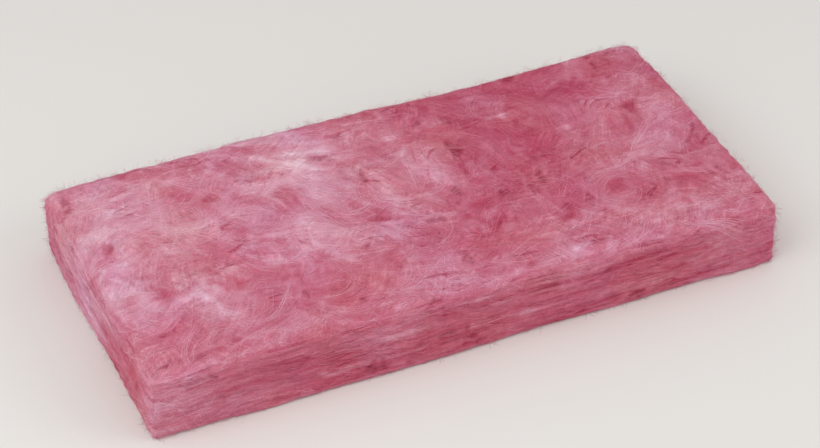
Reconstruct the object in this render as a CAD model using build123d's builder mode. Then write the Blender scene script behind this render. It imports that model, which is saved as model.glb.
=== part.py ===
from build123d import *
import math
import os

# One glass wool insulation batt: a soft rectangular slab, felted in one piece, cut to fill one
# cavity of a timber wall, between two studs and two nogs. It lies on its back face, with its room
# face up, X along its length, Y across it and Z through its thickness. Millimetres. The origin is
# on the back face, at its middle.

# Driving dimensions.
batt_length = 750.0  # knife cut, 5 mm over the 745 mm between two nogs
batt_width = 360.0  # slit at the works, 5 mm over the 355 mm between studs at 400 mm centres
batt_thickness = 90.0  # at the middle of the face, the depth of the studs
length_crown = 4.0  # how much the wool lofts at mid-length above its two ends
width_crown = 5.0  # how much it lofts at mid-width above its two slit sides
face_arris_radius = 14.0  # the soft edge round the room face
back_arris_radius = 7.0  # the edge round the back face, which the floor keeps squarer
corner_radius = 16.0  # the four upright corners, rubbed round by handling


def crown_radius(span, rise):
    """Radius of the arc that rises by that much over that span."""
    return span**2 / (8 * rise) + rise / 2


# The block is spun about a far axis under the batt, square to its length. Its section is crowned
# across the width, so the room face is one smooth surface that falls away on all four sides.
spin_radius = crown_radius(batt_length, length_crown)
side_height = batt_thickness - width_crown  # of the section, where it meets the slit sides
over_cut = batt_thickness / 2  # what the block has to spare outside the batt, all round
half_spin = math.degrees(math.atan((batt_length / 2 + over_cut) / (spin_radius - batt_thickness)))


with BuildPart() as insulation_batt:
    # The crowned block: section across the width, turned half to each end of the batt.
    with BuildSketch(Plane.YZ) as section:
        with BuildLine():
            crown = ThreePointArc(
                (-batt_width / 2, side_height),
                (0, batt_thickness),
                (batt_width / 2, side_height),
            )
            Polyline(
                crown @ 1,
                (batt_width / 2, -over_cut),
                (-batt_width / 2, -over_cut),
                crown @ 0,
            )
        make_face()
    spin_axis = Axis((0, 0, batt_thickness - spin_radius), (0, 1, 0))
    revolve(axis=spin_axis, revolution_arc=half_spin)
    mirror(about=Plane.YZ)

    # The two knife cuts across the length, and the flat back face.
    with BuildSketch(Plane.XY) as plan:
        Rectangle(batt_length, batt_width)
    extrude(amount=batt_thickness, mode=Mode.INTERSECT)

    # Soft edges: upright corners first, then right round the room face and the back face.
    upright = insulation_batt.edges().filter_by(Axis.Z)
    fillet(upright, corner_radius)
    face_rim = insulation_batt.faces().sort_by(Axis.Z)[-1].edges()
    fillet(face_rim, face_arris_radius)
    back_rim = insulation_batt.faces().sort_by(Axis.Z)[0].edges()
    fillet(back_rim, back_arris_radius)

insulation_batt.part.label = "insulation_batt"

os.makedirs("parts", exist_ok=True)
export_step(insulation_batt.part, "parts/insulation_batt.step")
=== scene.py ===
import bpy
import math
import numpy as np
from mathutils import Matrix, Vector


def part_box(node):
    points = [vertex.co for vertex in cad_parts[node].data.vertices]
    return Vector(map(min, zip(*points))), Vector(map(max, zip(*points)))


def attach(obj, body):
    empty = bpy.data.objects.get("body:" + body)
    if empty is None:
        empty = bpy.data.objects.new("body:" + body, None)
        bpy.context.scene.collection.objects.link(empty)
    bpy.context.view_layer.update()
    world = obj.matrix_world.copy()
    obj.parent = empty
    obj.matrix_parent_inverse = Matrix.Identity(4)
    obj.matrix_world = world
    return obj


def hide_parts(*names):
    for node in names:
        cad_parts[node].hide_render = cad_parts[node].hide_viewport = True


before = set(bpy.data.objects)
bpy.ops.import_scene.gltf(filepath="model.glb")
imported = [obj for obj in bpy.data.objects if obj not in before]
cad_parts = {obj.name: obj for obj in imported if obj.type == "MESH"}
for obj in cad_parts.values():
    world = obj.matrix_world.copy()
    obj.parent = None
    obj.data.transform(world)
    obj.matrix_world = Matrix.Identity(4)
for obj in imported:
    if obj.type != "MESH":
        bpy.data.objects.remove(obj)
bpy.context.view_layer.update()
battLow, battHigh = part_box("insulation_batt")
mm = 0.001

# One glass wool batt, lying on its back face: X along it, Y across it, Z through it. Its box
# comes from the frame, and the rest from the real sizes of the wool's own features.
batt = {
    "half": np.array([battHigh.x - battLow.x, battHigh.y - battLow.y, battHigh.z - battLow.z]) / 2,
    "lengthCrown": 4 * mm,  # loft at mid-length over the two cut ends
    "widthCrown": 5 * mm,  # loft at mid-width over the two slit sides
    "backArris": 7 * mm,  # radius of the edge round the back face
    "faceArris": 14 * mm,
    "sideTurn": (0.35, 0.9),  # how level the outward way is where a side begins and is whole
    "backTurn": (0.75, 1),  # how far down it points where the back face begins and is whole
    "arrisTurn": (0.9, 1.1),  # what its three parts add up to, which is most on the arrises
}
middle = np.array([0, 0, batt["half"][2]])  # of its box


# Two numbers from 0 to 1 for each lattice cell: the cell's three whole numbers and a seed are
# multiplied by large primes and mixed by shifts, and the result's two halves are read.
def latticeNumbers(cell, seed):
    mixed = (cell[:, 0] * 73856093) ^ (cell[:, 1] * 19349663) ^ (cell[:, 2] * 83492791)
    mixed = (mixed + seed * 2654435761) & 0xFFFFFFFF
    for shift, prime in ((16, 2246822519), (13, 3266489917)):
        mixed = ((mixed ^ (mixed >> shift)) * prime) & 0xFFFFFFFF
    mixed = mixed ^ (mixed >> 16)
    return (mixed & 0xFFFF) / 65536, (mixed >> 16) / 65536


# Gradient noise: each corner of a point's cell has a direction on the sphere, and the point's
# offsets along those eight directions are blended by a quintic ease. The factor at the end brings
# it to about -1 to 1.
def noise(points, seed):
    cell = np.floor(points).astype(np.int64)
    part = points - cell
    ease = part**3 * (part * (part * 6 - 15) + 10)
    total = np.zeros(len(points))
    for corner in np.ndindex(2, 2, 2):
        turn, level = latticeNumbers(cell + corner, seed)
        level = 2 * level - 1
        flat = np.sqrt(1 - level**2)
        away = part - corner
        along = away[:, 0] * flat * np.cos(2 * math.pi * turn)
        along += away[:, 1] * flat * np.sin(2 * math.pi * turn) + away[:, 2] * level
        total += along * np.prod(np.where(corner, ease, 1 - ease), axis=1)
    return 1.7 * total


# Noise summed over octaves, each a little over twice as fine as the last, so that their cells
# don't line up, and gain times as strong. The wave is in metres.
def layered(points, wave, seed, octaves=1, gain=0.5):
    total, strength, scale = 0, 1, 1 / np.asarray(wave)
    for octave in range(octaves):
        total = total + strength * noise(points * scale, seed + 17 * octave)
        strength, scale = strength * gain, scale * 2.03
    return total


# A smooth step, 0 up to low and 1 from high on: three times the share's square less twice its cube.
def eased(low, high, value):
    share = np.clip((value - low) / (high - low), 0, 1)
    return share * share * (3 - 2 * share)


# A point of the box's surface, pressed onto the soft slab: it is drawn in to an inner box by the
# arris radius there, and set back out by that radius along the way it came, which rounds every
# edge. Its height is then scaled by the crown, a parabola each way. Gives place and outward way.
def slab(onBox):
    share = onBox[:, 2] / (2 * batt["half"][2])
    radius = batt["backArris"] + (batt["faceArris"] - batt["backArris"]) * share
    inner = np.clip(onBox - middle, radius[:, None] - batt["half"], batt["half"] - radius[:, None])
    outward = onBox - middle - inner
    outward /= np.maximum(np.linalg.norm(outward, axis=1, keepdims=True), 1e-12)
    place = inner + outward * radius[:, None] + middle
    drop = batt["lengthCrown"] * (place[:, 0] / batt["half"][0]) ** 2
    drop += batt["widthCrown"] * (place[:, 1] / batt["half"][1]) ** 2
    place[:, 2] *= 1 - drop / (2 * batt["half"][2])
    return place, outward


# How much a place belongs to the sides, from 0 on the face and back to 1, by its outward way.
def sideShare(outward):
    return eased(*batt["sideTurn"], np.hypot(outward[:, 0], outward[:, 1]))


lay = {
    "swirl": 48 * mm,  # how far the lines of fibre wander over the face
    "swirlWave": np.array([260, 230, 260]) * mm,
    "curl": 13 * mm,  # how far they curl within that
    "curlWave": 58 * mm,
    "ripple": 3.5 * mm,  # how far the layers on the sides wander up and down
    "rippleWave": np.array([95, 95, 60]) * mm,
    "crossings": 3,  # the ways that strands lie over one another, evenly spread over a half turn
    "patchWave": 46 * mm,  # how large a patch is where one of them shows most
    "patchShown": (-0.2, 0.4),  # its noise's values where that way begins to show and is whole
    "reach": 9 * mm,  # the furthest that any fibre stands out from the slab
}


# Where a place lies among the wool's fibres: its distance along the batt, its distance across and
# its height, each moved by slow noises of its own. A line of fibre holds one value of the last two.
def layPlace(place):
    along = place[:, 0] + lay["swirl"] * layered(place, lay["swirlWave"], 85)
    along += lay["curl"] * layered(place, lay["curlWave"], 89)
    across = place[:, 1] + lay["swirl"] * layered(place, lay["swirlWave"], 81)
    across += lay["curl"] * layered(place, lay["curlWave"], 83)
    up = place[:, 2] + lay["ripple"] * layered(place, lay["rippleWave"], 87, 2)
    return np.stack([along, across, up], axis=1)


# Strands that cross, as felt has them: for each way that they lie, long-waved noise turned that
# way, times how much of it shows there, a slow noise of its own.
def crossed(fibre, wave, seed):
    total = 0
    for number in range(lay["crossings"]):
        turn = math.pi * number / lay["crossings"]
        turned = fibre.copy()
        turned[:, 0] = fibre[:, 0] * math.cos(turn) + fibre[:, 1] * math.sin(turn)
        turned[:, 1] = fibre[:, 1] * math.cos(turn) - fibre[:, 0] * math.sin(turn)
        shown = eased(*lay["patchShown"], layered(fibre, lay["patchWave"], seed + 5 * number))
        total = total + shown * layered(turned, wave, seed + number, 2)
    return total


arc = {
    "wave": 150 * mm,
    "width": 0.036,  # of the noise's own height, which makes a strand a few millimetres wide
    "shown": (0, 0.5),  # the other noise's values where a strand begins to show and is whole
}


# Long curves where a strand of wool lies on top, 1 on their middle lines: the zero lines of a slow
# noise, where another slow noise lets them show.
def arcs(place, fibre):
    line = np.exp(-((layered(fibre, arc["wave"], 77, 2) / arc["width"]) ** 2))
    return line * eased(*arc["shown"], layered(place, arc["wave"], 79))


relief = {
    "heave": 3.0 * mm,  # the slab's own uneven loft
    "heaveWave": 190 * mm,
    "lump": 0.8 * mm,  # tufts, from the way the fibre fell on the belt
    "lumpWave": np.array([42, 34, 34]) * mm,
    "nap": 0.7 * mm,  # the small tufts on those
    "napWave": np.array([13, 11, 11]) * mm,
    "ridge": 0.7 * mm,  # how far the long strands stand up
    "crease": 1.3 * mm,  # where the wool folded when it was pressed into its pack
    "creaseWave": np.array([110, 170, 110]) * mm,
    "creaseWidth": 0.045,  # of the noise's own height, as the split's is
    "creasePatch": 130 * mm,  # a second noise, which leaves the creases only in patches
    "creaseShown": (0.1, 0.6),  # its values where a crease begins to show and is whole
    "pit": 2.6 * mm,  # small holes where the felt is thin
    "pitWave": np.array([34, 24, 24]) * mm,
    "pitShown": (0.62, 0.9),
    "strata": 0.9 * mm,  # the fine layers that a cut side shows
    "strataWave": np.array([80, 80, 3.6]) * mm,
    "bulge": 1.0 * mm,  # thicker layers, some pressed harder than others
    "bulgeWave": np.array([150, 150, 15]) * mm,
    "split": 1.8 * mm,  # where two layers have come apart at a side
    "splitWave": np.array([90, 90, 12]) * mm,
    "splitWidth": 0.13,
    "splitPatch": 70 * mm,
    "splitShown": (0, 0.5),
    "ragged": 1.7 * mm,  # how much rougher the knife-cut ends are
    "raggedWave": np.array([17, 17, 6]) * mm,
    "sideLoss": 0.4,  # how much of the tufts the sides lack
    "backLoss": 0.92,  # how much of all this is pressed flat at the back
    "underside": 0.3 * mm,  # how far the back is pressed in
}


# How far the wool stands out from the slab, in metres, and how deep its hollows are: heave, tufts
# and nap as layered noise, and ridges where long strands lie, less creases along the zero lines of
# a slow noise and pits at the peaks of a quick one. In place of ridges, creases and pits the sides
# have thin layers, with splits along the zero lines of a flat-waved noise. The cut ends are
# rougher, and the back is pressed nearly flat.
def standOut(place, outward):
    side = sideShare(outward)
    end = eased(*batt["sideTurn"], np.abs(outward[:, 0]))
    under = eased(*batt["backTurn"], -outward[:, 2])
    fibre = layPlace(place)
    ridge = arcs(place, fibre) * (1 - side)
    heave = layered(place, relief["heaveWave"], 23, 2)
    lumps = layered(fibre, relief["lumpWave"], 11, 3)
    nap = layered(fibre, relief["napWave"], 31, 2)
    fold = layered(place, relief["creaseWave"], 41, 2)
    folded = eased(*relief["creaseShown"], layered(place, relief["creasePatch"], 43))
    crease = np.exp(-((fold / relief["creaseWidth"]) ** 2)) * folded
    pit = eased(*relief["pitShown"], layered(fibre, relief["pitWave"], 47)) * (1 - side)
    strata = relief["strata"] * layered(fibre, relief["strataWave"], 53, 2)
    strata += relief["bulge"] * layered(fibre, relief["bulgeWave"], 57)
    ragged = layered(place, relief["raggedWave"], 59, 2)
    gap = layered(fibre, relief["splitWave"], 49, 2)
    parted = eased(*relief["splitShown"], layered(place, relief["splitPatch"], 51))
    split = np.exp(-((gap / relief["splitWidth"]) ** 2)) * parted * side
    hollow = relief["crease"] * crease * (1 - side) + relief["pit"] * pit + relief["split"] * split
    out = relief["heave"] * heave + relief["lump"] * lumps * (1 - relief["sideLoss"] * side)
    out += relief["nap"] * nap + relief["ridge"] * ridge + strata * side
    out += relief["ragged"] * ragged * end - hollow
    return out * (1 - relief["backLoss"] * under) - relief["underside"] * under, hollow


tone = {
    "middling": 0.42,  # what the rest is added to
    "drift": -0.10,  # at the deeper end of the batt, and as much the other way at the paler one
    "cloud": 0.22,  # slow change in how much dye and fibre fell where
    "cloudWave": np.array([230, 200, 200]) * mm,
    "blotch": 0.16,  # dense and open patches of the felt
    "blotchWave": np.array([62, 54, 45]) * mm,
    "sideBlotch": 0.35,  # how much of them is left on the sides
    "streak": 0.13,  # the strands that cross on the face
    "streakWave": np.array([38, 11, 14]) * mm,
    "layer": 0.14,  # the layers that the sides cut through
    "layerWave": np.array([120, 120, 9]) * mm,
    "cut": -0.06,  # painted shade: the sides a little deeper, where light goes in between the layers
    "spot": 0.18,  # a few distinct spots where the dye ran deep
    "spotWave": 42 * mm,
    "spotShown": (0.62, 1.05),  # the noise's values where a spot begins and where it is deepest
    "fleck": 0.16,  # a few loose pale tufts
    "fleckWave": np.array([36, 20, 20]) * mm,
    "fleckShown": (0.6, 0.95),
    "strand": 0.18,  # how much paler the long strands are
    "paintedLightOnHeight": 20,  # painted light: how much paler the wool is for each metre that it stands up
    "paintedShadeInHollows": 80,  # painted shade: how much deeper its colour is for each metre of a hollow
    "rubAndPaintedLight": 0.05,  # the arrises, rubbed open by handling, and partly painted light where open fibre catches it
    "spotPaintedShade": 0.8,  # painted shade: how near the middle of a spot comes to the dimmest
    "hollowPaintedShade": 0.6,  # painted shade: how near a hollow as deep as a pit comes to the dimmest
}


# The distinct spots, 1 in their middles: the peaks of a slow noise with a rough outline.
def spots(fibre):
    return eased(*tone["spotShown"], layered(fibre, tone["spotWave"], 61, 4, 0.62))


# Where the wool is open and pale, 1, and where it is dense and deep, 0: a drift from end to end and
# layered noise along the lines of fibre, lowered in spots, and raised in flecks, which are the peaks
# of a noise, on long strands and on the arrises. As painted shade it is lowered in hollows and a
# little on the sides, and as painted light it is raised on what stands up and partly on the arrises.
def paleness(place, outward, out, hollow):
    fibre = layPlace(place)
    side = sideShare(outward)
    cloud = layered(place, tone["cloudWave"], 67, 2)
    blotch = layered(fibre, tone["blotchWave"], 71, 4, 0.6)
    streak = crossed(fibre, tone["streakWave"], 73)
    layer = layered(fibre, tone["layerWave"], 75, 3)
    spot = spots(fibre)
    fleck = eased(*tone["fleckShown"], layered(fibre, tone["fleckWave"], 63, 2))
    arris = eased(*batt["arrisTurn"], np.abs(outward).sum(axis=1))
    pale = tone["middling"] + tone["drift"] * place[:, 0] / batt["half"][0]
    pale += tone["cloud"] * cloud + tone["blotch"] * blotch * (1 - side + tone["sideBlotch"] * side)
    pale += (tone["streak"] * streak + tone["strand"] * arcs(place, fibre)) * (1 - side)
    pale += (tone["layer"] * layer + tone["cut"]) * side
    pale += tone["fleck"] * fleck - tone["spot"] * spot + tone["rubAndPaintedLight"] * arris
    return np.clip(pale + tone["paintedLightOnHeight"] * out - tone["paintedShadeInHollows"] * hollow, 0, 1)


# A smooth mesh from arrays of corners and of faces, which all have as many corners. Each number or
# vector kept at the corners is an attribute for the material, and the map is its flat map, OFBake.
def makeMesh(name, corners, faces, kept, mapped, normals=None):
    mesh = bpy.data.meshes.new(name)
    mesh.vertices.add(len(corners))
    mesh.vertices.foreach_set("co", corners.astype(np.float32).ravel())
    mesh.loops.add(faces.size)
    mesh.loops.foreach_set("vertex_index", faces.astype(np.int32).ravel())
    mesh.polygons.add(len(faces))
    starts = np.arange(0, faces.size, faces.shape[1], dtype=np.int32)
    mesh.polygons.foreach_set("loop_start", starts)
    mesh.polygons.foreach_set("use_smooth", np.ones(len(faces), bool))
    mesh.uv_layers.new(name="OFBake").uv.foreach_set("vector", mapped.astype(np.float32).ravel())
    for title, values in kept.items():
        kind, field = ("FLOAT", "value") if values.ndim == 1 else ("FLOAT_VECTOR", "vector")
        attribute = mesh.attributes.new(title, kind, "POINT")
        attribute.data.foreach_set(field, values.astype(np.float32).ravel())
    mesh.update(calc_edges=True)
    if normals is not None:
        mesh.normals_split_custom_set_from_vertices(normals)
    piece = bpy.data.objects.new(name, mesh)
    bpy.context.scene.collection.objects.link(piece)
    return piece


skin = {
    "cells": np.array([240, 114, 56]),  # along, across and up
    "mapGap": 12 * mm,  # between the six sides where they are laid out flat
}


# Where each side of the box lies on the skin's flat map, in metres: the face above the back, the
# long sides above those, and the ends standing at their right.
def flatCorner(axis, end):
    length, width, height = 2 * batt["half"]
    gap = skin["mapGap"]
    if axis == 2:
        return (0, (width + gap) * end)
    if axis == 1:
        return (0, 2 * (width + gap) + (height + gap) * end)
    return (length + gap + (height + gap) * end, 0)


# The closed skin: the six sides of the box, each a grid of two parameters, welded where their
# whole-number lattice places agree, pressed onto the slab and moved out by the relief.
def makeSkin():
    cells = skin["cells"]
    size = 2 * batt["half"]
    lattice, faces, flats, begun = [], [], [], 0
    for axis in range(3):
        first, second = [other for other in range(3) if other != axis]
        grid = np.indices((cells[first] + 1, cells[second] + 1)).reshape(2, -1).T
        number = np.arange(len(grid)).reshape(cells[first] + 1, cells[second] + 1)
        quads = np.stack([number[:-1, :-1], number[1:, :-1], number[1:, 1:], number[:-1, 1:]])
        quads = quads.reshape(4, -1).T
        for end in (0, 1):
            places = np.zeros((len(grid), 3), np.int64)
            places[:, first], places[:, second] = grid.T
            places[:, axis] = cells[axis] * end
            # A grid whose corners would run clockwise, as seen from outside, is turned over.
            turned = quads if end == (axis != 1) else quads[:, ::-1]
            span = (places / cells * size)[:, [first, second] if axis else [second, first]]
            flats.append((span + flatCorner(axis, end))[turned])
            lattice.append(places)
            faces.append(turned + begun)
            begun += len(grid)
    lattice, welded = np.unique(np.concatenate(lattice), axis=0, return_inverse=True)
    faces = welded.reshape(-1)[np.concatenate(faces)]
    flats = np.concatenate(flats).reshape(-1, 2)
    place, outward = slab(lattice / cells * size - [*batt["half"][:2], 0])
    out, hollow = standOut(place, outward)
    corners = place + outward * out[:, None]
    corners[:, 2] = np.maximum(corners[:, 2], battLow.z)
    fibre = layPlace(place)
    # Painted shade, by which the material dims the spots and the hollows: creases, pits and splits.
    shade = tone["spotPaintedShade"] * spots(fibre) + tone["hollowPaintedShade"] * hollow / relief["pit"]
    kept = {
        "woolTint": paleness(place, outward, out, hollow),
        "woolLay": fibre,
        "woolSide": sideShare(outward),
        "woolPaintedShade": np.minimum(shade, 1) ** 2,
    }
    return makeMesh("batt_wool", corners, faces, kept, flats / flats.max())


# The five sides that show, by the axis that points out of them and the end of it, with the axis
# that their fibres mostly follow and the one across it.
sides = {
    "face": {"outAxis": 2, "end": 1, "along": 0, "across": 1},
    "near": {"outAxis": 1, "end": -1, "along": 0, "across": 2},
    "far": {"outAxis": 1, "end": 1, "along": 0, "across": 2},
    "left": {"outAxis": 0, "end": -1, "along": 1, "across": 2},
    "right": {"outAxis": 0, "end": 1, "along": 1, "across": 2},
}


# A point that has wandered past the edge of its side is folded over onto the next side, as far
# down it as it had gone past.
def foldOver(fromMiddle, side):
    folded = fromMiddle.copy()
    for other in (side["along"], side["across"]):
        over = np.maximum(np.abs(folded[:, other]) - batt["half"][other], 0)
        folded[:, other] -= over * np.sign(folded[:, other])
        folded[:, side["outAxis"]] -= over * side["end"]
    return folded + middle


# The way that the fibre lies at each place on a side, as an angle from its along axis: square to
# the slope of the lay, which two short steps of a millimetre measure.
def layAngle(place, side):
    start = layPlace(place)[:, side["across"]]
    slopes = []
    for axis in (side["along"], side["across"]):
        stepped = place.copy()
        stepped[:, axis] += mm
        slopes.append(layPlace(stepped)[:, side["across"]] - start)
    return np.arctan2(-slopes[0], slopes[1])


unlike = {  # the fibres of a piece, from one bunch to the next and within a bunch
    "bunchLength": (0.6, 1.4),  # times the piece's length
    "length": (0.7, 1),  # times the bunch's length
    "heading": 0.14,  # from the bunch's heading, in radians
    "bend": (0.7, 1.3),  # times the bunch's bend
    "straight": 0.3,  # the share of its length where a fibre lies along its heading
    "mostLift": 2.2,  # times the piece's lift
    "lift": (0.5, 1.5),  # times the bunch's lift
    "bunchPale": 0.07,  # how far a bunch's paleness strays
    "pale": 0.14,  # how far each fibre's strays from that
    "palest": 0.9,  # the most that any fibre's paleness may be
}


# Fibres laid on one side. Bunches start at random places, and each fibre of a bunch starts near
# its place and shares its heading and its bend. Each takes equal steps along the lay, turning as it
# goes, and is lifted off the wool by a half sine to the power of 1.5, or by a quarter sine where
# its far end is free. Where edgeward is under 1, the bunches are drawn out from the middle of the
# side towards its rim. Gives points, outward ways and palenesses.
def layFibres(random, side, count, look):
    bunches = count // look["bunch"]
    count = bunches * look["bunch"]
    member = np.repeat(np.arange(bunches), look["bunch"])
    half = batt["half"]
    onSide = [side["along"], side["across"]]
    at = random.uniform(-1, 1, (bunches, 3))
    rimward = np.abs(at[:, onSide]).max(axis=1) ** (look.get("edgeward", 1) - 1)
    at = (at * rimward[:, None] * half)[member]
    spread = random.normal(0, 1, (count, 2)) * look["spread"]
    at[:, onSide] += spread
    at[:, side["outAxis"]] = half[side["outAxis"]] * side["end"]
    heading = random.normal(0, look["stray"], bunches)[member]
    heading += random.normal(0, unlike["heading"], count)
    bend = random.normal(0, look["bend"], bunches)[member]
    bend *= random.uniform(*unlike["bend"], count)
    length = look["length"] * random.uniform(*unlike["bunchLength"], bunches)[member]
    length *= random.uniform(*unlike["length"], count)
    pinch = look["pinch"] * spread[:, 1]
    lift = look["lift"] * np.minimum(random.exponential(1, bunches), unlike["mostLift"])[member]
    lift *= random.uniform(*unlike["lift"], count)
    sink = random.uniform(*look["sink"], count)
    paler = look["paler"] + random.normal(0, unlike["bunchPale"], bunches)[member]
    paler += random.normal(0, unlike["pale"], count)
    points, ways, pales = [], [], []
    for step in range(look["steps"]):
        share = step / (look["steps"] - 1)
        place, outward = slab(foldOver(at, side))
        out, hollow = standOut(place, outward)
        rise = out + lift * math.sin(math.pi * share * (1 - look["free"] / 2)) ** 1.5 + sink
        points.append(place + outward * np.minimum(rise, lay["reach"])[:, None])
        ways.append(outward)
        pales.append(paleness(place, outward, out, hollow))
        angle = layAngle(place, side) + heading + bend * (share - unlike["straight"])
        stride = length / (look["steps"] - 1)
        at[:, side["along"]] += np.cos(angle) * stride
        at[:, side["across"]] += np.sin(angle) * stride - pinch / (look["steps"] - 1)
    points, ways = np.stack(points, axis=1), np.stack(ways, axis=1)
    return points, ways, np.clip(np.mean(pales, axis=0) + paler, 0, unlike["palest"])


fibreForm = {
    "flatness": 0.4,  # how thick a fibre is beside its width, as it lies flat
    "likeWool": 2,  # how much its shading leans to that of the wool under it
    "likeTop": 0.7,  # how much it leans to that of a level surface
    "mapStrip": 0.008,  # its width on the flat map, which is 1 wide
    "mapSpread": 0.98,  # how much of that map the palenesses take
}


# Thin spindles, one along each fibre: three corners round each inner point, at the fibre's radius
# times the root of a half sine, drawn together to one point at each end and closed. They are
# shaded mostly as the wool they lie on, as real fibre has no dark side: light goes through it.
def makeFibres(name, points, ways, pales, radius, random):
    count, steps = points.shape[:2]
    along = np.gradient(points, axis=1)
    along /= np.maximum(np.linalg.norm(along, axis=2, keepdims=True), 1e-12)
    across = np.cross(along, ways)
    across /= np.maximum(np.linalg.norm(across, axis=2, keepdims=True), 1e-12)
    upward = np.cross(across, along)
    share = np.linspace(0, 1, steps)[1:-1]
    size = random.uniform(*radius, count)[:, None] * np.sin(math.pi * share)[None, :] ** 0.5
    rings, shaded = [], []
    for turn in (1 / 4, 7 / 12, 11 / 12):
        angle = 2 * math.pi * turn
        way = across[:, 1:-1] * math.cos(angle)
        way = way + upward[:, 1:-1] * math.sin(angle) * fibreForm["flatness"]
        rings.append(points[:, 1:-1] + way * size[:, :, None])
        leaning = fibreForm["likeWool"] * ways[:, 1:-1]
        shaded.append(way + leaning + [0, 0, fibreForm["likeTop"]])
    rings = np.stack(rings, axis=2).reshape(count, -1, 3)
    shaded = np.stack(shaded, axis=2).reshape(count, -1, 3)
    corners = np.concatenate([points[:, :1], rings, points[:, -1:]], axis=1)
    normals = np.concatenate([ways[:, :1], shaded, ways[:, -1:]], axis=1).reshape(-1, 3)
    normals /= np.linalg.norm(normals, axis=1, keepdims=True)
    corners[:, :, 2] = np.maximum(corners[:, :, 2], battLow.z)
    perFibre = corners.shape[1]
    faces, lastRing = [], perFibre - 4
    for turn, after in ((0, 1), (1, 2), (2, 0)):
        faces.append([0, 1 + turn, 1 + after])
        faces.append([lastRing + after, lastRing + turn, perFibre - 1])
        for low in range(1, lastRing, 3):
            faces.append([low + after, low + turn, low + 3 + turn])
            faces.append([low + after, low + 3 + turn, low + 3 + after])
    faces = np.arange(count)[:, None, None] * perFibre + np.array(faces)
    tint = np.repeat(pales, perFibre)
    # On the flat map a fibre is a thin upright strip, placed by its paleness.
    wide = fibreForm["mapStrip"]
    strip = np.concatenate([[0], np.tile([0, wide / 2, wide], steps - 2), [wide]])
    high = np.concatenate([[0], np.repeat(share, 3), [1]])
    right = fibreForm["mapSpread"] * tint + np.tile(strip, count)
    flats = np.stack([right, np.tile(high, count)], axis=1)
    faces = faces.reshape(-1, 3)
    flats = flats[faces].reshape(-1, 2)
    return makeMesh(name, corners.reshape(-1, 3), faces, {"woolTint": tint}, flats, normals)


# The fibres are far thicker than glass wool's, which are finer than a hair, because each stands
# for the small bundle that the eye takes for one. For each piece, counts are the fibres on each
# side, bunch is how many start together, steps are the points along one and length is its length.
# Spread is how far apart the starts of a bunch lie, along and across, and pinch is how much of the
# second is gone at the far ends. Stray and bend are how much the headings differ and the fibres
# turn, in radians. Lift is how high one rises, free is how loose its far end is, from 0 to 1, and
# sink is how far it lies under or over the wool. Paler is added to the wool's paleness.
fibrePieces = {
    "face_tufts": {
        "seed": 101, "counts": {"face": 7400}, "bunch": 6, "steps": 6, "length": 26 * mm,
        "spread": (8 * mm, 5 * mm), "pinch": 0.2, "stray": 0.75, "bend": 1.2, "lift": 0.5 * mm,
        "free": 0, "sink": (-0.4 * mm, 0.3 * mm), "paler": 0.02, "radius": (0.11 * mm, 0.23 * mm),
    },
    "face_nap": {
        "seed": 102, "counts": {"face": 8400}, "bunch": 2, "steps": 5, "length": 13 * mm,
        "spread": (4 * mm, 4 * mm), "pinch": 0, "stray": 3.0, "bend": 2.0, "lift": 0.8 * mm,
        "free": 0.5, "sink": (-0.3 * mm, 0.3 * mm), "paler": 0.04, "radius": (0.08 * mm, 0.17 * mm),
    },
    "face_wisps": {
        "seed": 103, "counts": {"face": 3900}, "bunch": 20, "steps": 10, "length": 75 * mm,
        "spread": (4 * mm, 1.8 * mm), "pinch": 0.8, "stray": 0.5, "bend": 1.6, "lift": 0.7 * mm,
        "free": 0, "sink": (-0.3 * mm, 0.4 * mm), "paler": 0.10, "radius": (0.09 * mm, 0.19 * mm),
    },
    "edge_layers": {
        "seed": 104, "counts": {"near": 2700, "far": 2700, "left": 1300, "right": 1300},
        "bunch": 5, "steps": 6, "length": 22 * mm, "spread": (12 * mm, 1.5 * mm), "pinch": 0.2,
        "stray": 0.35, "bend": 0.9, "lift": 1.1 * mm, "free": 0.4, "sink": (-0.4 * mm, 0.4 * mm),
        "paler": 0.03, "radius": (0.09 * mm, 0.20 * mm),
    },
    "loose_fuzz": {
        "seed": 105, "counts": {"face": 3000, "near": 1500, "far": 1500, "left": 750, "right": 750},
        "edgeward": 0.2, "bunch": 3, "steps": 4, "length": 13 * mm, "spread": (3 * mm, 3 * mm),
        "pinch": 0, "stray": 3.0, "bend": 1.6, "lift": 3.8 * mm, "free": 1,
        "sink": (-0.3 * mm, 0.2 * mm), "paler": 0.14, "radius": (0.10 * mm, 0.18 * mm),
    },
}


# Light goes through loose fibre, so it throws no shadow and keeps no light off the wool under it.
def makeFibrePiece(name, look):
    random = np.random.default_rng(look["seed"])
    laid = [layFibres(random, sides[side], count, look) for side, count in look["counts"].items()]
    points, ways, pales = (np.concatenate(parts) for parts in zip(*laid))
    piece = makeFibres(name, points, ways, pales, look["radius"], random)
    piece.visible_shadow = False
    piece.visible_diffuse = False
    return piece


# An sRGB hex colour as linear red, green and blue, by the sRGB curve, with an alpha of 1.
def linear(hexColour):
    parts = [int(hexColour[start : start + 2], 16) / 255 for start in (1, 3, 5)]
    parts = [p / 12.92 if p <= 0.04045 else ((p + 0.055) / 1.055) ** 2.4 for p in parts]
    return (*parts, 1)


# Adds one node, with its settings, and with a value or another node's output at each input.
def addNode(tree, kind, settings=None, inputs=None):
    node = tree.nodes.new(kind)
    for name, value in (settings or {}).items():
        setattr(node, name, value)
    for name, value in (inputs or {}).items():
        if isinstance(value, bpy.types.NodeSocket):
            tree.links.new(value, node.inputs[name])
        else:
            node.inputs[name].default_value = value
    return node


def newMaterial(name):
    material = bpy.data.materials.new(name)
    material.use_nodes = True
    material.node_tree.nodes.clear()
    return material, material.node_tree


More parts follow.
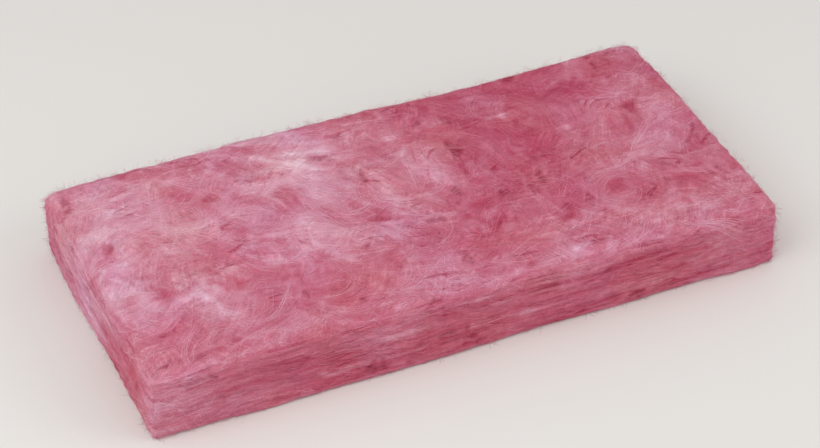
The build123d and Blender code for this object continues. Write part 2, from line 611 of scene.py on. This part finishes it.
woolColours = {  # from dense wool to open wool
    0.00: "#ab324c",
    0.25: "#bb536b",
    0.50: "#c97489",
    0.75: "#d99cb0",
    1.00: "#eac9d9",
}

cast = {
    "scale": 12,  # waves to the metre, so a patch is about 80 mm
    "red": 0.12,  # how far apart the reds, and then the blues, of two patches may be
    "blue": 0.36,
}


# The wool's colour where it is that pale, in patches a little warmer or cooler, as a slow noise has
# them: its red and blue are multiplied by numbers that wander about 1.
def woolColour(tree, pale):
    ramp = addNode(tree, "ShaderNodeValToRGB", None, {"Fac": pale})
    stops = ramp.color_ramp.elements
    for position, colour in woolColours.items():
        stop = stops[0] if position == 0 else stops[-1] if position == 1 else stops.new(position)
        stop.color = linear(colour)
    where = addNode(tree, "ShaderNodeTexCoord").outputs["Object"]
    patch = addNode(tree, "ShaderNodeTexNoise", None,
                    {"Vector": where, "Scale": cast["scale"], "Detail": 3})
    warmth = addNode(tree, "ShaderNodeVectorMath", {"operation": "MULTIPLY_ADD"},
                     {0: patch.outputs["Color"], 1: (cast["red"], 0, cast["blue"]),
                      2: (1 - cast["red"] / 2, 1, 1 - cast["blue"] / 2)})
    return addNode(tree, "ShaderNodeVectorMath", {"operation": "MULTIPLY"},
                   {0: ramp.outputs["Color"], 1: warmth.outputs[0]}).outputs[0]


# What the shader takes for wool: glass, but matt, as light is scattered from fibre to fibre. It
# goes a few millimetres into the felt and comes back out redder.
woolShader = {
    "Roughness": 0.95,
    "IOR": 1.5,
    "Specular IOR Level": 0.15,
    "Subsurface Weight": 0.4,
    "Subsurface Radius": (1.0, 0.42, 0.52),
    "Subsurface Scale": 2.5 * mm,
}

felt = {
    "faceStrand": (24, 130, 130),  # waves to the metre along, across and up: 42 x 8 x 8 mm
    "sideStrand": (34, 34, 300),  # the cut layers, 3 mm thick
    "strandDetail": 3,
    "faceHair": (30, 400, 60),  # single strands, drawn 2.5 mm apart so that they show
    "sideHair": (42, 42, 520),
    "hairDetail": 2,
    "patchScale": 22,  # patches of 45 mm where one way of the strands or another lies on top
    "patchShown": (0.42, 0.58),  # the noise's values where that way begins to show and is whole
    "webWave": (60, 150, 200),  # fine curved hairs, drawn about 1 mm wide so that they show
    "webWidth": 0.035,  # of the noise's own height, as gapWidth and slitWidth are
    "webWander": 1.2,  # how much the noise is distorted, which curls the hairs
    "gapWave": (10, 10, 150),  # between the layers of the sides, where some have parted
    "gapWidth": 0.03,
    "gapShown": (0.45, 0.6),
    "slitWave": (10, 42, 42),  # short tears along the fibre of the face, about 1 mm wide
    "slitWidth": 0.02,
    "slitShown": (0.59, 0.65),
    "tearWander": 0.2,  # as webWander, for gaps and slits
    "puffScale": 130,  # the soft small puffs of the surface, 8 mm
    "speckScale": 420,  # crumbs and knots of fibre, 2 mm
    # How much each pattern adds to the paleness, to the brightness and to the height of the bump. The
    # brightness is painted light and shade: glints and small shadows of fibres, shading of strands and
    # puffs, and dim slits. The gaps and slits are painted shade in the paleness too.
    "strand": (0.26, 0.30, 1.0),
    "hair": (0.27, 0.26, 0.40),
    "web": (0.08, 0.0, 0.25),
    "gap": (-0.22, 0.0, -0.8),
    "slit": (-0.30, -0.08, -0.7),
    "puff": (0.10, 0.36, 1.0),
    "speck": (0.13, 0.34, 0.45),
    "shade": 0.36,  # painted shade: how much dimmer the deepest spots and hollows are
    "bumpDepth": 1.7 * mm,
    "bumpStrength": 0.8,
}


# Strands of the wool, 0.5 on average. On the face three ways of them cross, each where its own part
# of the slow noise in shares lets it show, and on the sides there is one, the cut layers. The waves
# are to the metre along, across and up.
def strands(tree, fibre, side, shares, faceWave, sideWave, detail):
    look = {"Scale": 1, "Detail": detail, "Roughness": 0.6, "Distortion": 0.5}
    low, high = felt["patchShown"]
    total = 0.5
    for number in range(lay["crossings"]):
        turned = addNode(tree, "ShaderNodeMapping", None,
                         {"Vector": fibre, "Rotation": (0, 0, math.pi * number / lay["crossings"])})
        scaled = addNode(tree, "ShaderNodeMapping", None,
                         {"Vector": turned.outputs[0], "Scale": faceWave})
        one = addNode(tree, "ShaderNodeTexNoise", None, {"Vector": scaled.outputs[0], **look})
        centred = addNode(tree, "ShaderNodeMath", {"operation": "SUBTRACT"},
                          {0: one.outputs["Fac"], 1: 0.5})
        shown = addNode(tree, "ShaderNodeMapRange", {"interpolation_type": "SMOOTHSTEP"},
                        {0: shares[number], 1: low, 2: high})
        total = addNode(tree, "ShaderNodeMath", {"operation": "MULTIPLY_ADD"},
                        {0: centred.outputs[0], 1: shown.outputs[0], 2: total}).outputs[0]
    scaled = addNode(tree, "ShaderNodeMapping", None, {"Vector": fibre, "Scale": sideWave})
    layer = addNode(tree, "ShaderNodeTexNoise", None, {"Vector": scaled.outputs[0], **look})
    return addNode(tree, "ShaderNodeMix", {"data_type": "FLOAT"},
                   {0: side, 2: total, 3: layer.outputs["Fac"]}).outputs[0]


# Thin curved lines, 1 on their middles: where a noise passes through its mean value.
def lines(tree, where, waves, width, distortion):
    scaled = addNode(tree, "ShaderNodeMapping", None, {"Vector": where, "Scale": waves})
    one = addNode(tree, "ShaderNodeTexNoise", None,
                  {"Vector": scaled.outputs[0], "Scale": 1, "Detail": 1, "Distortion": distortion})
    level = addNode(tree, "ShaderNodeMath", {"operation": "SUBTRACT"}, {0: one.outputs[0], 1: 0.5})
    level = addNode(tree, "ShaderNodeMath", {"operation": "ABSOLUTE"}, {0: level.outputs[0]})
    return addNode(tree, "ShaderNodeMapRange", {"interpolation_type": "SMOOTHSTEP"},
                   {0: level.outputs[0], 1: 0.0, 2: width, 3: 1.0, 4: 0.0}).outputs[0]


# Glass wool felt: glass spun to fibre, dyed in its binder, laid on a belt and baked. Downy and
# matt, with crossing strands and hairs, pale where it is open and deep rose where it is dense,
# with painted light and shade in its brightness and painted shade in its gaps, slits and hollows.
def feltMaterial():
    material, tree = newMaterial("glass wool felt, baked")
    fibre = addNode(tree, "ShaderNodeAttribute", {"attribute_name": "woolLay"}).outputs["Vector"]
    tint = addNode(tree, "ShaderNodeAttribute", {"attribute_name": "woolTint"}).outputs["Fac"]
    side = addNode(tree, "ShaderNodeAttribute", {"attribute_name": "woolSide"}).outputs["Fac"]
    where = addNode(tree, "ShaderNodeTexCoord").outputs["Object"]

    patch = addNode(tree, "ShaderNodeTexNoise", None,
                    {"Vector": where, "Scale": felt["patchScale"], "Detail": 1})
    shares = addNode(tree, "ShaderNodeSeparateXYZ", None, {"Vector": patch.outputs["Color"]}).outputs
    strand = strands(tree, fibre, side, shares, felt["faceStrand"], felt["sideStrand"],
                     felt["strandDetail"])
    hair = strands(tree, fibre, side, shares, felt["faceHair"], felt["sideHair"],
                   felt["hairDetail"])

    web = lines(tree, where, felt["webWave"], felt["webWidth"], felt["webWander"])
    # The gaps between the sides' layers and the tears of the face are painted shade.
    gap = lines(tree, fibre, felt["gapWave"], felt["gapWidth"], felt["tearWander"])
    low, high = felt["gapShown"]
    parted = addNode(tree, "ShaderNodeMapRange", {"interpolation_type": "SMOOTHSTEP"},
                     {0: shares[0], 1: low, 2: high, 4: side}).outputs[0]
    gap = addNode(tree, "ShaderNodeMath", {"operation": "MULTIPLY"}, {0: gap, 1: parted}).outputs[0]
    slit = lines(tree, fibre, felt["slitWave"], felt["slitWidth"], felt["tearWander"])
    onFace = addNode(tree, "ShaderNodeMath", {"operation": "SUBTRACT"}, {0: 1.0, 1: side})
    low, high = felt["slitShown"]
    torn = addNode(tree, "ShaderNodeMapRange", {"interpolation_type": "SMOOTHSTEP"},
                   {0: shares[1], 1: low, 2: high, 4: onFace.outputs[0]}).outputs[0]
    slit = addNode(tree, "ShaderNodeMath", {"operation": "MULTIPLY"}, {0: slit, 1: torn}).outputs[0]
    puff = addNode(tree, "ShaderNodeTexNoise", None,
                   {"Vector": where, "Scale": felt["puffScale"], "Detail": 2,
                    "Roughness": 0.6, "Distortion": 0.6}).outputs["Fac"]
    speck = addNode(tree, "ShaderNodeTexNoise", None,
                    {"Vector": where, "Scale": felt["speckScale"], "Detail": 3,
                     "Roughness": 0.7}).outputs["Fac"]

    # The paleness, the brightness and the bump's height start from the tint, from the painted shade of
    # the deepest places and from nothing. The brightness is all painted light and shade. To each,
    # every pattern adds an amount of its own, times how far the pattern is over its mean.
    deep = addNode(tree, "ShaderNodeAttribute", {"attribute_name": "woolPaintedShade"}).outputs["Fac"]
    dimmed = addNode(tree, "ShaderNodeMath", {"operation": "MULTIPLY_ADD"},
                     {0: deep, 1: -felt["shade"], 2: 1.0})
    totals = [tint, dimmed.outputs[0], 0.0]
    for pattern, mean, amounts in (
        (strand, 0.5, felt["strand"]), (hair, 0.5, felt["hair"]), (web, 0.2, felt["web"]),
        (gap, 0.0, felt["gap"]), (slit, 0.0, felt["slit"]), (puff, 0.5, felt["puff"]),
        (speck, 0.5, felt["speck"]),
    ):
        over = addNode(tree, "ShaderNodeMath", {"operation": "SUBTRACT"}, {0: pattern, 1: mean})
        totals = [
            addNode(tree, "ShaderNodeMath", {"operation": "MULTIPLY_ADD"},
                    {0: over.outputs[0], 1: amount, 2: total}).outputs[0]
            for amount, total in zip(amounts, totals)
        ]
    pale, paintedLightShade, height = totals
    colour = addNode(tree, "ShaderNodeVectorMath", {"operation": "SCALE"},
                     {0: woolColour(tree, pale), "Scale": paintedLightShade}).outputs[0]
    bump = addNode(tree, "ShaderNodeBump", None,
                   {"Height": height, "Strength": felt["bumpStrength"], "Distance": felt["bumpDepth"]})
    shader = addNode(tree, "ShaderNodeBsdfPrincipled", None,
                     {"Base Color": colour, "Normal": bump.outputs[0], **woolShader})
    addNode(tree, "ShaderNodeOutputMaterial", None, {"Surface": shader.outputs[0]})
    return material


# Loose glass fibre: the same dyed glass in fine bundles, which light passes right through, so
# that no side of them is dark.
def fibreMaterial():
    material, tree = newMaterial("glass wool fibre, loose")
    tint = addNode(tree, "ShaderNodeAttribute", {"attribute_name": "woolTint"}).outputs["Fac"]
    shader = addNode(tree, "ShaderNodeBsdfPrincipled", None,
                     {"Base Color": woolColour(tree, tint), **woolShader, "Subsurface Weight": 0.0})
    addNode(tree, "ShaderNodeOutputMaterial", None, {"Surface": shader.outputs[0]})
    return material


studio = {
    "azimuth": -24,  # degrees round the batt, from straight before its near side
    "elevation": 38,
    "distance": 2.9,  # metres, from the batt's middle
    "lens": 112,  # millimetres, which fills the frame with the batt
    "key": {"place": (-1.6, -0.6, 2.0), "size": 2.2, "power": 25},
    "fill": {"place": (2.0, -1.6, 1.4), "size": 2.0, "power": 17},
    "skyStrength": 0.65,
    "floorColour": "#e6e3df",
    "floorReach": 12,
    "floorGap": 0.2 * mm,  # under the batt, so that the two don't lie in one plane
}


# Turns a camera or a lamp, which both look along their own -Z, to the target.
def pointAt(thing, target):
    thing.rotation_mode = "QUATERNION"
    thing.rotation_quaternion = (target - thing.location).to_track_quat("-Z", "Y")


# The camera looks down on the middle of the batt, from that azimuth and elevation.
def makeCamera():
    centre = (battLow + battHigh) / 2
    azimuth, elevation = math.radians(studio["azimuth"]), math.radians(studio["elevation"])
    back = Vector((math.sin(azimuth) * math.cos(elevation),
                   -math.cos(azimuth) * math.cos(elevation), math.sin(elevation)))
    camera = bpy.data.objects.new("camera", bpy.data.cameras.new("camera"))
    camera.data.lens = studio["lens"]
    camera.location = centre + back * studio["distance"]
    pointAt(camera, centre)
    bpy.context.scene.collection.objects.link(camera)
    bpy.context.scene.camera = camera


# A round soft lamp, turned to the origin, which is under the middle of the batt.
def makeLamp(name):
    lamp = bpy.data.objects.new(name, bpy.data.lights.new(name, "AREA"))
    lamp.data.shape = "DISK"
    lamp.data.size = studio[name]["size"]
    lamp.data.energy = studio[name]["power"]
    lamp.location = studio[name]["place"]
    pointAt(lamp, Vector((0, 0, 0)))
    bpy.context.scene.collection.objects.link(lamp)


# Camera, two lamps, an even white sky and a pale floor, which isn't part of the object.
def makeStudio():
    makeCamera()
    makeLamp("key")
    makeLamp("fill")
    world = bpy.data.worlds.new("sky")
    bpy.context.scene.world = world
    world.use_nodes = True
    world.node_tree.nodes["Background"].inputs["Color"].default_value = (1, 1, 1, 1)
    world.node_tree.nodes["Background"].inputs["Strength"].default_value = studio["skyStrength"]
    reach = studio["floorReach"]
    corners = [(-reach, -reach, 0), (reach, -reach, 0), (reach, reach, 0), (-reach, reach, 0)]
    mesh = bpy.data.meshes.new("floor")
    mesh.from_pydata(corners, [], [(0, 1, 2, 3)])
    floor = bpy.data.objects.new("floor", mesh)
    floor.location.z = battLow.z - studio["floorGap"]
    bpy.context.scene.collection.objects.link(floor)
    material, tree = newMaterial("pale studio floor")
    shader = addNode(tree, "ShaderNodeBsdfPrincipled", None,
                     {"Base Color": linear(studio["floorColour"]), "Roughness": 0.9})
    addNode(tree, "ShaderNodeOutputMaterial", None, {"Surface": shader.outputs[0]})
    mesh.materials.append(material)


makeStudio()
print("studio made")

feltLook = feltMaterial()
fibreLook = fibreMaterial()
print("materials made")

woolSkin = makeSkin()
woolSkin.data.materials.append(feltLook)
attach(woolSkin, "root")
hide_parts("insulation_batt")
print("skin made:", len(woolSkin.data.polygons), "quads")

for name, look in fibrePieces.items():
    piece = makeFibrePiece(name, look)
    piece.data.materials.append(fibreLook)
    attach(piece, "root")
    print(name, "made:", len(piece.data.polygons), "triangles")

bpy.context.scene.view_settings.view_transform = "Standard"
